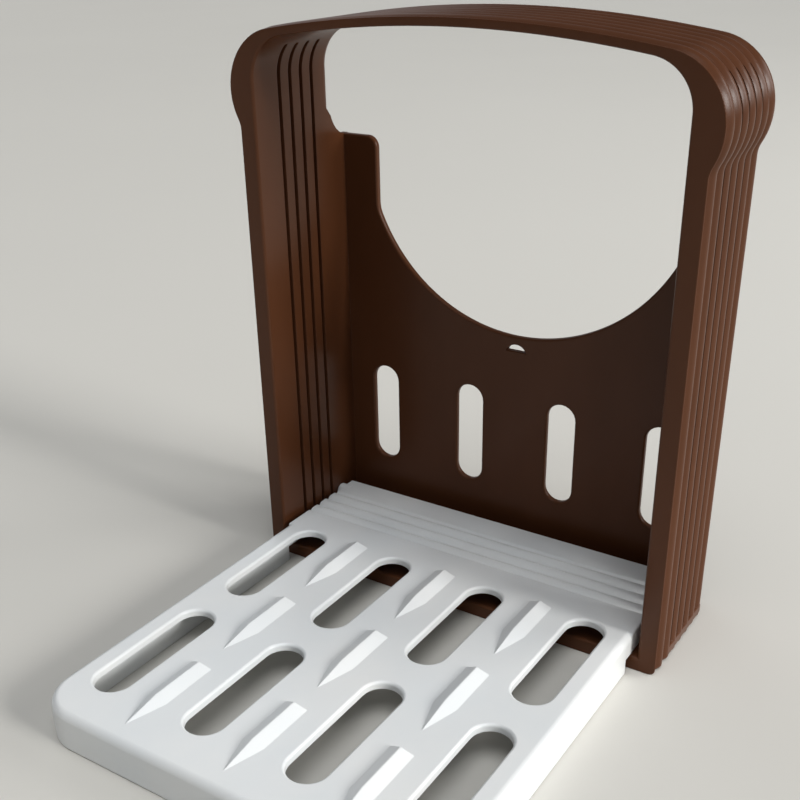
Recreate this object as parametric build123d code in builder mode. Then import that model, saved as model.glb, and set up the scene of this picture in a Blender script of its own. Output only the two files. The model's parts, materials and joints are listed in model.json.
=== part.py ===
"""Folding bread slicer guide: a ribbed slotted frame with a loaf tray hinged at its foot.

X runs across the frame, Y from the front face towards the back plate, Z up, in millimetres.
Both mouldings are drawn from the front face back, and are then moved so that the origin
lies on the table in the middle of the frame's foot.
"""
import os
from math import asin, atan2, degrees, sqrt

from build123d import *

os.makedirs("parts", exist_ok=True)

# ---- driving dimensions: frame -------------------------------------------------------------
LOAF_WIDTH = 124.0            # clear width between the side walls
LOAF_HEADROOM = 165.3         # table to the underside of the arch, on the centre line
WALL = 5.8                    # side wall, inner face to rib crest
ARCH_THICK = 2.7              # arch at the crown, inner face to rib crest
INNER_CROWN_RADIUS = 340.0    # slight crown of the arch, inside
OUTER_CROWN_RADIUS = 353.0    # and outside
INNER_CORNER_RADIUS = 12.0
SHOULDER_RADIUS = 17.0        # round shoulder that stands proud of the side walls
SHOULDER_PROUD = 2.7
SHOULDER_BLEND = 6.0          # hollow between shoulder and wall
FOOT_RADIUS = 2.2             # outer bottom edge of each wall
FRONT_EDGE_RADIUS = 0.8       # inner edge of the front face
REAR_EDGE_RADIUS = 3.0        # inner edge of the arch's rear face

PITCH = 5.0                   # ribs, knife slots and tray grooves all repeat at this pitch
GROOVE_COUNT = 7              # grooves between the eight ribs
FIRST_GROOVE = 1.6            # front face to the first groove
RIB_HEIGHT = 1.2              # groove floor to rib crest
LAST_RIB = 3.8                # last groove to the ribbed band's rear face
FOOT_BAND_LOW = 1.2           # smooth band that closes the rear grooves near the table
FOOT_BAND_HIGH = 4.2
FOOT_BAND_GROOVE = 1          # it begins on the crest behind the groove of this number

KNIFE_SLOT = 1.5              # knife slot width
SLOT_BELOW_ARCH = 7.3         # the slots end in the round of the inner corners
KNIFE_SLOT_COUNT = 4
KNIFE_SLOT_GROOVE = 2         # grooves in front of the one that holds the first slot
THICKEST_SLICE = 30.0         # first slot to the back plate

PLATE_TOP = 4.2               # top of the base plate between the walls
PLATE_THICK = 2.2
PLATE_RIM = 2.2               # front rim below the base plate
CENTRE_LAND = 16.0            # solid strip under the plate, front to back
SKIN = 2.4                    # side skins that carry the back plate
BACK_PLATE = 2.2
BACK_PLATE_TOP = 129.2
STEP_HEIGHT = 6.0             # slope between the arch's rear face and the back plate's top
LOBE_WIDTH = 12.1             # side wall to the upright edge of the cut-out
LOBE_RADIUS = 3.6             # free corners of the two upright lobes
CUTOUT_BULGE = 4.1            # radius of the round, beyond the cut-out's half width
CUTOUT_LOW = 74.0             # table to the lowest point of the cut-out
CUTOUT_BLEND = 10.0           # corner between the round and the upright edges
CATCH_WIDTH = 6.6             # half-round hole below the cut-out
CATCH_HEIGHT = 2.2
CATCH_BELOW_CUTOUT = 4.8
WINDOW_COUNT = 4              # upright windows in the back plate
WINDOW_MARGIN = 13.7          # side wall to the middle of the outer windows
WINDOW_WIDTH = 9.4
WINDOW_LOW = 21.4
WINDOW_HIGH = 54.8

# ---- driving dimensions: tray --------------------------------------------------------------
TRAY_SIDE_GAP = 1.9           # tray edge to side wall
FOLD_GAP = 16.6               # arch to the front edge of the folded tray
TRAY_TOP = 11.5
TRAY_WALL = 2.2
TRAY_SKIN = 2.2               # thickness of the tray's deck
TRAY_CORNER_RADIUS = 12.0
TRAY_EDGE_RADIUS = 2.2
NOTCH_FRONT = 3.5             # the skirt is cut away from here back, to pass over the plate
NOTCH_GAP = 0.7               # skirt to base plate
GROOVE_DEPTH = 1.4            # tray grooves below the deck
GROOVE_LIP = 1.0              # groove to the deck in front of it, and to the rear land
REAR_LAND_DROP = 0.6          # the rear land falls this much towards the last groove
HOLE_COLUMNS = 4
HOLE_ROWS = 2
HOLE_WIDTH = 11.2
HOLE_SIDE_MARGIN = 12.1       # tray edge to the middle of the outer holes
HOLE_FRONT_MARGIN = 12.3      # tray edge to the front holes
HOLE_BRIDGE = 11.3            # deck left between the two rows
HOLE_EDGE_RADIUS = 0.8
WEDGE_ROWS = 3                # rows of gripping ridges, in the columns between the holes
WEDGE_FRONT_MARGIN = 6.1
WEDGE_GAP = 8.8               # deck left between two rows
WEDGE_POINT = 11.0            # length of the pointed end
WEDGE_WIDTH = 6.8
WEDGE_HEIGHT = 1.8

# ---- driving dimensions: hinge -------------------------------------------------------------
PIVOT_BEHIND_SLOT = 5.4       # last knife slot to the hinge axis
PIVOT_BELOW_DECK = 2.5
PIN_RADIUS = 2.0
PIN_CLEARANCE = 0.08          # radial, pin in its blind hole
PIN_ENGAGEMENT = 2.4
PIN_END_GAP = 0.3             # pin tip to hole floor, and shoulder to wall
PIN_SHOULDER = 0.4            # step from the pin to its thrust shoulder
SWING_GAP = 0.3               # round rear of the tray to the base plate

# ---- worked out ----------------------------------------------------------------------------
INNER_X = LOAF_WIDTH / 2
OUTER_X = INNER_X + WALL
CROWN_Z = LOAF_HEADROOM + ARCH_THICK
BAND_DEPTH = FIRST_GROOVE + (GROOVE_COUNT - 1) * PITCH + LAST_RIB
FOOT_BAND_START = FIRST_GROOVE + (FOOT_BAND_GROOVE + 0.5) * PITCH
FIRST_SLOT = FIRST_GROOVE + KNIFE_SLOT_GROOVE * PITCH
SLOTS = [FIRST_SLOT + n * PITCH for n in range(KNIFE_SLOT_COUNT)]
SLOT_TOP = LOAF_HEADROOM - SLOT_BELOW_ARCH
PANEL_Y = FIRST_SLOT + THICKEST_SLICE
REAR_Y = PANEL_Y + BACK_PLATE
LOBE_EDGE = INNER_X - LOBE_WIDTH
CUTOUT_RADIUS = LOBE_EDGE + CUTOUT_BULGE
CATCH_LOW = CUTOUT_LOW - CATCH_BELOW_CUTOUT
WINDOW_PITCH = 2 * (INNER_X - WINDOW_MARGIN) / (WINDOW_COUNT - 1)
PIVOT_Y = SLOTS[-1] + PIVOT_BEHIND_SLOT
PIVOT_Z = TRAY_TOP - PIVOT_BELOW_DECK
SWING = PIVOT_Z - PLATE_TOP - SWING_GAP      # radius of the tray's round rear end
TRAY_X = INNER_X - TRAY_SIDE_GAP
TRAY_REACH = LOAF_HEADROOM - FOLD_GAP - PIVOT_Z - PIVOT_Y
TRAY_REAR = PIVOT_Y + SWING
DECK_UNDER = TRAY_TOP - TRAY_SKIN
SKIRT_REAR_LOW = PLATE_TOP + NOTCH_GAP
GROOVE_FLOOR = TRAY_TOP - GROOVE_DEPTH
REAR_TOP_Y = PIVOT_Y + sqrt(SWING**2 - PIVOT_BELOW_DECK**2)
REAR_LOW_Y = PIVOT_Y + sqrt(SWING**2 - (PIVOT_Z - SKIRT_REAR_LOW) ** 2)
HOLE_PITCH = 2 * (TRAY_X - HOLE_SIDE_MARGIN) / (HOLE_COLUMNS - 1)
HOLE_LENGTH = (TRAY_REACH - HOLE_FRONT_MARGIN - (HOLE_ROWS - 1) * HOLE_BRIDGE) / HOLE_ROWS
WEDGE_LENGTH = (TRAY_REACH - WEDGE_FRONT_MARGIN - (WEDGE_ROWS - 1) * WEDGE_GAP) / WEDGE_ROWS
OVERSHOOT = 2.0               # how far cutters stand clear of what they cut


def crown_tangent(crown_z, crown_radius, corner_x, corner_radius):
    """Centre height of a corner arc that meets the crown, and the point where they touch."""
    middle_z = crown_z - crown_radius
    reach = crown_radius - corner_radius
    corner_z = middle_z + sqrt(reach**2 - corner_x**2)
    share = crown_radius / reach
    return corner_z, (corner_x * share, middle_z + (corner_z - middle_z) * share)


def arc_by_centre(centre, start, end, turn):
    """Arc about centre from start to end, turning left (turn 1) or right (turn -1)."""
    first = degrees(atan2(start[1] - centre[1], start[0] - centre[0]))
    last = degrees(atan2(end[1] - centre[1], end[0] - centre[0]))
    radius = sqrt((start[0] - centre[0]) ** 2 + (start[1] - centre[1]) ** 2)
    return CenterArc(centre, radius, first, turn * ((turn * (last - first)) % 360))


def outer_line(bottom_z):
    """The rib crests' line, from the right foot over the arch to the left foot."""
    corner_x = OUTER_X + SHOULDER_PROUD - SHOULDER_RADIUS
    corner_z, touch = crown_tangent(CROWN_Z, OUTER_CROWN_RADIUS, corner_x, SHOULDER_RADIUS)
    blend_x = OUTER_X + SHOULDER_BLEND
    reach = SHOULDER_RADIUS + SHOULDER_BLEND
    blend_z = corner_z - sqrt(reach**2 - (blend_x - corner_x) ** 2)
    share = SHOULDER_RADIUS / reach
    meet = (corner_x + (blend_x - corner_x) * share, corner_z + (blend_z - corner_z) * share)
    for side in (1, -1):
        Line((side * OUTER_X, bottom_z), (side * OUTER_X, blend_z))
        arc_by_centre((side * blend_x, blend_z), (side * OUTER_X, blend_z),
                      (side * meet[0], meet[1]), -side)
        arc_by_centre((side * corner_x, corner_z), (side * meet[0], meet[1]),
                      (side * touch[0], touch[1]), side)
    ThreePointArc(touch, (0, CROWN_Z), (-touch[0], touch[1]))


def inner_line(bottom_z):
    """The inner face's line, from the right foot over the arch to the left foot."""
    corner_x = INNER_X - INNER_CORNER_RADIUS
    corner_z, touch = crown_tangent(
        LOAF_HEADROOM, INNER_CROWN_RADIUS, corner_x, INNER_CORNER_RADIUS)
    for side in (1, -1):
        Line((side * INNER_X, bottom_z), (side * INNER_X, corner_z))
        arc_by_centre((side * corner_x, corner_z), (side * INNER_X, corner_z),
                      (side * touch[0], touch[1]), side)
    ThreePointArc(touch, (0, LOAF_HEADROOM), (-touch[0], touch[1]))


# ---- frame: ribbed arch, base plate and slotted back plate in one moulding -------------------
with BuildPart() as frame:
    # walls, arch and base plate, seen from the front
    with BuildSketch(Plane.XZ) as front_view:
        with BuildLine():
            outer_line(0)
            Line((OUTER_X, 0), (-OUTER_X, 0))
        make_face()
        fillet(front_view.vertices().group_by(Axis.Y)[0], FOOT_RADIUS)
        with BuildLine():
            inner_line(PLATE_TOP)
            Line((INNER_X, PLATE_TOP), (-INNER_X, PLATE_TOP))
        make_face(mode=Mode.SUBTRACT)
    extrude(amount=-BAND_DEPTH)

    rear_edges = frame.faces().sort_by(Axis.Y)[-1].inner_wires()[0].edges()
    fillet(rear_edges.filter_by_position(Axis.Z, PLATE_TOP + 1, CROWN_Z), REAR_EDGE_RADIUS)
    front_edges = frame.faces().sort_by(Axis.Y)[0].inner_wires()[0].edges()
    fillet(front_edges.filter_by_position(Axis.Z, PLATE_TOP + 1, CROWN_Z), FRONT_EDGE_RADIUS)

    # grooves between convex ribs, run round the whole outside
    with BuildLine(Plane.XZ):
        outer_line(-OVERSHOOT)
    with BuildSketch(Plane.XY.offset(-OVERSHOOT)):
        first_cusp = FIRST_GROOVE - PITCH
        last_cusp = FIRST_GROOVE + GROOVE_COUNT * PITCH
        with BuildLine():
            for n in range(GROOVE_COUNT + 1):
                cusp = first_cusp + n * PITCH
                ThreePointArc((OUTER_X - RIB_HEIGHT, cusp), (OUTER_X, cusp + PITCH / 2),
                              (OUTER_X - RIB_HEIGHT, cusp + PITCH))
            Polyline((OUTER_X - RIB_HEIGHT, last_cusp), (OUTER_X + OVERSHOOT, last_cusp),
                     (OUTER_X + OVERSHOOT, first_cusp), (OUTER_X - RIB_HEIGHT, first_cusp))
        make_face()
    sweep(mode=Mode.SUBTRACT)

    # smooth band that closes the rear grooves just above the table
    band_height = FOOT_BAND_HIGH - FOOT_BAND_LOW
    with BuildSketch(Plane.XY.offset(FOOT_BAND_LOW)):
        floor_x = OUTER_X - RIB_HEIGHT
        with Locations((floor_x, FOOT_BAND_START), (-floor_x, FOOT_BAND_START)):
            Rectangle(2 * RIB_HEIGHT, BAND_DEPTH - FOOT_BAND_START, align=(Align.CENTER, Align.MIN))
    extrude(amount=band_height)

    # side skins that carry the back plate behind the ribbed band
    with BuildSketch(Plane.YZ.offset(INNER_X)) as skin_view:
        inside_band = BAND_DEPTH - REAR_EDGE_RADIUS - OVERSHOOT
        step_top = BACK_PLATE_TOP + STEP_HEIGHT
        with BuildLine():
            Polyline((inside_band, step_top), (inside_band, 0), (REAR_Y, 0),
                     (REAR_Y, BACK_PLATE_TOP), (PANEL_Y, BACK_PLATE_TOP))
            Spline((PANEL_Y, BACK_PLATE_TOP), (BAND_DEPTH, step_top), tangents=((-1, 0.2), (-0.3, 1)))
            Line((BAND_DEPTH, step_top), (inside_band, step_top))
        make_face()
    extrude(amount=SKIN)
    extrude(skin_view.sketch.moved(Location((-2 * INNER_X - SKIN, 0, 0))), amount=SKIN)

    # back plate with its cut-out, catch hole and windows
    with BuildSketch(Plane.XZ.offset(-PANEL_Y)) as plate_view:
        with Locations((0, BACK_PLATE_TOP / 2)):
            Rectangle(2 * (INNER_X + SKIN), BACK_PLATE_TOP)
        with BuildSketch(Plane.XZ.offset(-PANEL_Y), mode=Mode.PRIVATE) as cutout:
            round_z = CUTOUT_LOW + CUTOUT_RADIUS
            with Locations((0, round_z)):
                Circle(CUTOUT_RADIUS)
            with Locations((0, round_z)):
                Rectangle(2 * LOBE_EDGE, 4 * CUTOUT_RADIUS, mode=Mode.INTERSECT)
            with Locations((0, BACK_PLATE_TOP + OVERSHOOT)):
                Rectangle(2 * LOBE_EDGE, 2 * OVERSHOOT + 2 * LOBE_RADIUS)
            side_corners = cutout.vertices().filter_by_position(Axis.Y, CUTOUT_LOW, round_z)
            fillet(side_corners, CUTOUT_BLEND)
        add(cutout.sketch, mode=Mode.SUBTRACT)
        top_points = plate_view.vertices().group_by(Axis.Y)[-1]
        lobe_tips = top_points.filter_by_position(Axis.X, -LOBE_EDGE - 1, LOBE_EDGE + 1)
        fillet(lobe_tips, LOBE_RADIUS)
        with Locations((0, (WINDOW_LOW + WINDOW_HIGH) / 2)):
            with GridLocations(WINDOW_PITCH, 1, WINDOW_COUNT, 1):
                SlotOverall(WINDOW_HIGH - WINDOW_LOW, WINDOW_WIDTH, rotation=90, mode=Mode.SUBTRACT)
        with BuildLine():
            ThreePointArc((CATCH_WIDTH / 2, CATCH_LOW), (0, CATCH_LOW + CATCH_HEIGHT),
                          (-CATCH_WIDTH / 2, CATCH_LOW))
            Line((CATCH_WIDTH / 2, CATCH_LOW), (-CATCH_WIDTH / 2, CATCH_LOW))
        make_face(mode=Mode.SUBTRACT)
    extrude(amount=-BACK_PLATE)

    # base plate behind the ribbed band, then the hollows below it
    with BuildSketch(Plane.XY):
        with Locations((0, BAND_DEPTH - OVERSHOOT)):
            Rectangle(2 * INNER_X, REAR_Y - BAND_DEPTH + OVERSHOOT, align=(Align.CENTER, Align.MIN))
    extrude(amount=PLATE_TOP)
    hollow_width = INNER_X - PLATE_RIM - CENTRE_LAND / 2
    with BuildSketch(Plane.XY):
        with Locations((CENTRE_LAND / 2 + hollow_width / 2, PLATE_RIM),
                       (-CENTRE_LAND / 2 - hollow_width / 2, PLATE_RIM)):
            Rectangle(hollow_width, PANEL_Y - 2 * PLATE_RIM, align=(Align.CENTER, Align.MIN))
    extrude(amount=PLATE_TOP - PLATE_THICK, mode=Mode.SUBTRACT)

    # knife slots through both walls, on the groove floors
    with BuildSketch(Plane.YZ.offset(-OUTER_X - 2 * OVERSHOOT - SHOULDER_PROUD)):
        slot_height = SLOT_TOP - FOOT_BAND_HIGH
        for slot_y in SLOTS:
            with Locations((slot_y, FOOT_BAND_HIGH + slot_height / 2)):
                SlotOverall(slot_height, KNIFE_SLOT, rotation=90)
    extrude(amount=2 * (OUTER_X + 2 * OVERSHOOT + SHOULDER_PROUD), mode=Mode.SUBTRACT)

    # blind holes for the tray's pins
    with BuildSketch(Plane.YZ.offset(INNER_X)) as pin_hole:
        with Locations((PIVOT_Y, PIVOT_Z)):
            Circle(PIN_RADIUS + PIN_CLEARANCE)
    hole_depth = PIN_ENGAGEMENT + PIN_END_GAP
    extrude(amount=hole_depth, mode=Mode.SUBTRACT)
    extrude(pin_hole.sketch.moved(Location((-2 * INNER_X, 0, 0))), amount=-hole_depth, mode=Mode.SUBTRACT)

# ---- tray: hollow deck with a skirt, hinge pins at its rear corners --------------------------
with BuildPart() as tray:
    # deck block with rounded front corners and top edges
    with BuildSketch(Plane.XY) as outline:
        with Locations((0, -TRAY_REACH)):
            Rectangle(2 * TRAY_X, TRAY_REACH + TRAY_REAR, align=(Align.CENTER, Align.MIN))
        fillet(outline.vertices().group_by(Axis.Y)[0], TRAY_CORNER_RADIUS)
    extrude(amount=TRAY_TOP)
    top_edges = tray.faces().sort_by(Axis.Z)[-1].edges()
    fillet(top_edges.filter_by_position(Axis.Y, -TRAY_REACH, TRAY_REAR - 1), TRAY_EDGE_RADIUS)

    # drain holes through the deck, with rounded rims
    with BuildSketch(Plane.XY.offset(TRAY_TOP)):
        with Locations((0, (HOLE_FRONT_MARGIN - TRAY_REACH) / 2)):
            with GridLocations(HOLE_PITCH, HOLE_LENGTH + HOLE_BRIDGE, HOLE_COLUMNS, HOLE_ROWS):
                SlotOverall(HOLE_LENGTH, HOLE_WIDTH, rotation=90)
    extrude(amount=-TRAY_TOP, mode=Mode.SUBTRACT)
    rims = [wire.edges() for wire in tray.faces().sort_by(Axis.Z)[-1].inner_wires()]
    fillet([edge for rim in rims for edge in rim], HOLE_EDGE_RADIUS)

    # side profile: skirt notch, grooves under the knife slots, round rear end
    with BuildSketch(Plane.YZ.offset(-TRAY_X - OVERSHOOT)):
        with BuildLine():
            lip_y = SLOTS[0] - GROOVE_LIP
            clear_y = -TRAY_REACH - OVERSHOOT
            clear_z = TRAY_TOP + OVERSHOOT
            Polyline((SLOTS[0], GROOVE_FLOOR), (lip_y, TRAY_TOP), (lip_y, clear_z),
                     (clear_y, clear_z), (clear_y, 0), (-NOTCH_FRONT, 0),
                     (-NOTCH_FRONT, SKIRT_REAR_LOW), (REAR_LOW_Y, SKIRT_REAR_LOW))
            for slot_y in SLOTS[:-1]:
                ThreePointArc((slot_y, GROOVE_FLOOR), (slot_y + PITCH / 2, TRAY_TOP),
                              (slot_y + PITCH, GROOVE_FLOOR))
            Polyline((SLOTS[-1], GROOVE_FLOOR), (SLOTS[-1] + GROOVE_LIP, TRAY_TOP - REAR_LAND_DROP),
                     (REAR_TOP_Y, TRAY_TOP))
            ThreePointArc((REAR_TOP_Y, TRAY_TOP), (TRAY_REAR, PIVOT_Z),
                          (REAR_LOW_Y, SKIRT_REAR_LOW))
        make_face()
    extrude(amount=2 * (TRAY_X + OVERSHOOT), mode=Mode.INTERSECT)

    # hollow below the deck, lower below the grooves
    inner_x = TRAY_X - TRAY_WALL
    front_y = TRAY_WALL - TRAY_REACH
    grooves_y = SLOTS[0] - PITCH / 2
    with BuildSketch(Plane.XY):
        with BuildLine():
            FilletPolyline((inner_x, grooves_y), (inner_x, front_y), (-inner_x, front_y),
                           (-inner_x, grooves_y), radius=TRAY_CORNER_RADIUS - TRAY_WALL)
            Line((inner_x, grooves_y), (-inner_x, grooves_y))
        make_face()
    extrude(amount=DECK_UNDER, mode=Mode.SUBTRACT)
    with BuildSketch(Plane.XY):
        with Locations((0, grooves_y)):
            Rectangle(2 * inner_x, PIVOT_Y - grooves_y, align=(Align.CENTER, Align.MIN))
    extrude(amount=DECK_UNDER - GROOVE_DEPTH, mode=Mode.SUBTRACT)

    # pointed ridges that grip the loaf
    for row in range(WEDGE_ROWS):
        blunt_y = -row * (WEDGE_LENGTH + WEDGE_GAP)
        shoulder_y = blunt_y - WEDGE_LENGTH + WEDGE_POINT
        for column in range(HOLE_COLUMNS - 1):
            middle_x = (column - (HOLE_COLUMNS - 2) / 2) * HOLE_PITCH
            for face_y in (blunt_y, shoulder_y):
                mode = Mode.ADD if face_y == blunt_y else Mode.PRIVATE
                with BuildSketch(Plane.XZ.offset(-face_y), mode=mode) as section:
                    with Locations((middle_x, TRAY_TOP)):
                        Polygon((-WEDGE_WIDTH / 2, 0), (WEDGE_WIDTH / 2, 0), (0, WEDGE_HEIGHT), align=None)
            extrude(amount=WEDGE_LENGTH - WEDGE_POINT)
            loft(sections=[section.sketch.face(), Vertex(middle_x, blunt_y - WEDGE_LENGTH, TRAY_TOP)])

    # hinge pins with thrust shoulders
    for side in (1, -1):
        with BuildSketch(Plane.YZ.offset(side * (TRAY_X - TRAY_WALL))):
            with Locations((PIVOT_Y, PIVOT_Z)):
                Circle(PIN_RADIUS + PIN_SHOULDER)
        extrude(amount=side * (TRAY_WALL + TRAY_SIDE_GAP - PIN_END_GAP))
        with BuildSketch(Plane.YZ.offset(side * (TRAY_X - TRAY_WALL))):
            with Locations((PIVOT_Y, PIVOT_Z)):
                Circle(PIN_RADIUS)
        extrude(amount=side * (TRAY_WALL + TRAY_SIDE_GAP + PIN_ENGAGEMENT))

frame.part.label = "frame"
tray.part.label = "tray"
for piece in (frame.part, tray.part):
    piece.move(Location((0, -REAR_Y / 2, 0)))
    export_step(piece, f"parts/{piece.label}.step")
    size = piece.bounding_box().size
    print(f"{piece.label}: {size.X:.1f} x {size.Y:.1f} x {size.Z:.1f} mm, {piece.volume / 1000:.1f} cm3")
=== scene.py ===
"""Looks of a folding bread slicer guide: a ribbed brown frame and a white loaf tray in a plain studio."""
import json
from math import atan2, ceil, cos, degrees, floor, pi, radians, sin, sqrt

import bmesh
import bpy
from mathutils import Matrix, Vector


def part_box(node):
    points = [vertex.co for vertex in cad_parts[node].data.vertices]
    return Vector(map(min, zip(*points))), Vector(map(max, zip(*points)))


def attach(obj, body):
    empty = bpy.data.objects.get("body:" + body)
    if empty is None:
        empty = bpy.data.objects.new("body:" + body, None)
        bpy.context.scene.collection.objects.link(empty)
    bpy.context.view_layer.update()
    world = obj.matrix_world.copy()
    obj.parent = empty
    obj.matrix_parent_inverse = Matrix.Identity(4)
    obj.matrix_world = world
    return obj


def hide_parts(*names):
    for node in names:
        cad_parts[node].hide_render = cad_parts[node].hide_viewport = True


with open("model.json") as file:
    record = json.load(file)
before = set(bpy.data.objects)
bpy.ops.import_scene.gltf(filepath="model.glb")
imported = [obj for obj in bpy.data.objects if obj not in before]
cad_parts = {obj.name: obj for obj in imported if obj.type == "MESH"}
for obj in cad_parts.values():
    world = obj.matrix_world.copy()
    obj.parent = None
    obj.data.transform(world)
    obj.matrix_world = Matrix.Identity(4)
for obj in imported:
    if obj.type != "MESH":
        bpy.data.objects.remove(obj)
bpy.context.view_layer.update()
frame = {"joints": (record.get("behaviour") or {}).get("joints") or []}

bl_info = {
    "name": "Bread slicer guide",
    "version": (1, 0, 0),
    "blender": (4, 5, 0),
    "location": "3D View > Sidebar > Slicer guide",
    "description": "Builds the ribbed frame, the perforated tray and the studio of a bread slicer guide",
    "category": "Object",
}

# The fixed frame: every place below is measured from these boxes, in metres.
FRAME_LOW, FRAME_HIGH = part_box("frame")
TRAY_LOW, TRAY_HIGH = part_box("tray")
HINGE = Vector(frame["joints"][0]["pos_m"])
FRONT_Y = FRAME_LOW.y
OVERSHOOT = 0.002             # how far a cutter stands clear of what it cuts
BURIED = 0.0005               # how far an added part reaches into what carries it
SHARP_ANGLE = radians(24)     # edges that turn more than this stay crisp

# Planes that profiles are drawn on: (across, up, along the extrusion) to x, y, z.
PLAN = Matrix(((1, 0, 0), (0, 1, 0), (0, 0, 1)))
FRONT = Matrix(((1, 0, 0), (0, 0, 1), (0, 1, 0)))
SIDE = Matrix(((0, 0, 1), (1, 0, 0), (0, 1, 0)))


# ---- sizes and colours that a user would change ------------------------------------------------
def length(name, description, default):
    """A size in metres, shown in the scene's length unit."""
    return bpy.props.FloatProperty(
        name=name, description=description, default=default, min=0.0, precision=5, unit="LENGTH")


def colour(name, description, default):
    """A linear colour with its picker."""
    return bpy.props.FloatVectorProperty(
        name=name, description=description, default=default, min=0.0, max=1.0, size=3, subtype="COLOR")


def count(name, description, default):
    """A whole number of repeated features."""
    return bpy.props.IntProperty(name=name, description=description, default=default, min=1)


class ArchSizes(bpy.types.PropertyGroup):
    """Walls and arch of the frame."""
    wall: length("Wall", "Side wall, inner face to rib crest", 0.0058)
    arch: length("Arch", "Thickness at the crown", 0.0027)
    depth: length("Depth", "Front face to the ribbed band's rear face", 0.0354)
    inner_crown: length("Inner crown radius", "Slight crown of the arch, inside", 0.340)
    outer_crown: length("Outer crown radius", "Slight crown of the arch, outside", 0.353)
    inner_corner: length("Inner corner radius", "Upper corners, inside", 0.012)
    shoulder: length("Shoulder radius", "Round shoulder outside each upper corner", 0.017)
    proud: length("Shoulder stand-out", "Shoulder beyond the side wall", 0.0027)
    blend: length("Shoulder blend", "Hollow between shoulder and wall", 0.006)
    foot: length("Foot radius", "Outer bottom edge of each wall", 0.0016)
    edge: length("Edge radius", "Outer edges of the front and rear faces", 0.0005)
    front_edge: length("Front edge radius", "Inner edge of the front face", 0.0008)
    rear_edge: length("Rear edge radius", "Inner edge of the arch's rear face", 0.003)


class RibSizes(bpy.types.PropertyGroup):
    """Ribs round the outside, and the knife slots on their groove floors."""
    pitch: length("Pitch", "Groove to groove, and slot to slot", 0.005)
    height: length("Rib height", "Groove floor to rib crest", 0.0012)
    wave_power: bpy.props.FloatProperty(
        name="Wave power", description="1 is a plain wave, 0.5 gives round ribs between sharp valleys",
        default=0.66, min=0.5)
    first_groove: length("First groove", "Front face to the first groove", 0.0016)
    slot_groove: count("Slot groove", "Grooves in front of the first slotted one", 2)
    slot_count: count("Slots", "Knife slots in each wall", 4)
    slot_width: length("Slot width", "Width of a knife slot", 0.0015)
    slot_low: length("Slot start", "Table to the lower end of the slots", 0.0042)
    slot_below_arch: length("Slot end", "Upper end of the slots to the arch's underside", 0.0073)
    band_low: length("Foot band start", "Table to the smooth band that closes the rear grooves", 0.0014)
    band_groove: count("Foot band groove", "The band begins on the crest behind this groove", 1)


class PlateSizes(bpy.types.PropertyGroup):
    """Base plate, side skins and back plate of the frame."""
    base_top: length("Base plate top", "Table to the top of the base plate", 0.0042)
    base_thick: length("Base plate", "Thickness of the base plate", 0.0022)
    rim: length("Rim", "Rim round the hollows below the base plate", 0.0022)
    land: length("Land", "Solid strip between the two hollows", 0.016)
    skin: length("Skin", "Side skins behind the ribbed band", 0.0024)
    thick: length("Back plate", "Thickness of the back plate", 0.0022)
    top: length("Back plate top", "Table to the top of the back plate", 0.1292)
    step: length("Step", "Slope from the back plate's top to the arch's rear face", 0.006)
    lobe: length("Lobe", "Side wall to the upright edge of the cut-out", 0.0121)
    lobe_radius: length("Lobe radius", "Free corner of each upright lobe", 0.0036)
    bulge: length("Cut-out bulge", "Radius of the round, beyond the cut-out's half width", 0.0041)
    cutout_low: length("Cut-out low", "Table to the lowest point of the cut-out", 0.074)
    cutout_blend: length("Cut-out blend", "Corner between the round and the upright edges", 0.010)
    rim_radius: length("Rim radius", "Rounded rims of the back plate and its openings", 0.0007)
    catch_width: length("Catch width", "Half-round hole below the cut-out", 0.0066)
    catch_height: length("Catch height", "Height of the half-round hole", 0.0022)
    catch_low: length("Catch low", "Table to the half-round hole", 0.0692)
    window_count: count("Windows", "Upright windows in the back plate", 4)
    window_margin: length("Window margin", "Side wall to the middle of the outer windows", 0.0137)
    window_width: length("Window width", "Width of a window", 0.0094)
    window_low: length("Window low", "Table to the windows", 0.0214)
    window_high: length("Window high", "Table to the top of the windows", 0.0548)


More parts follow.
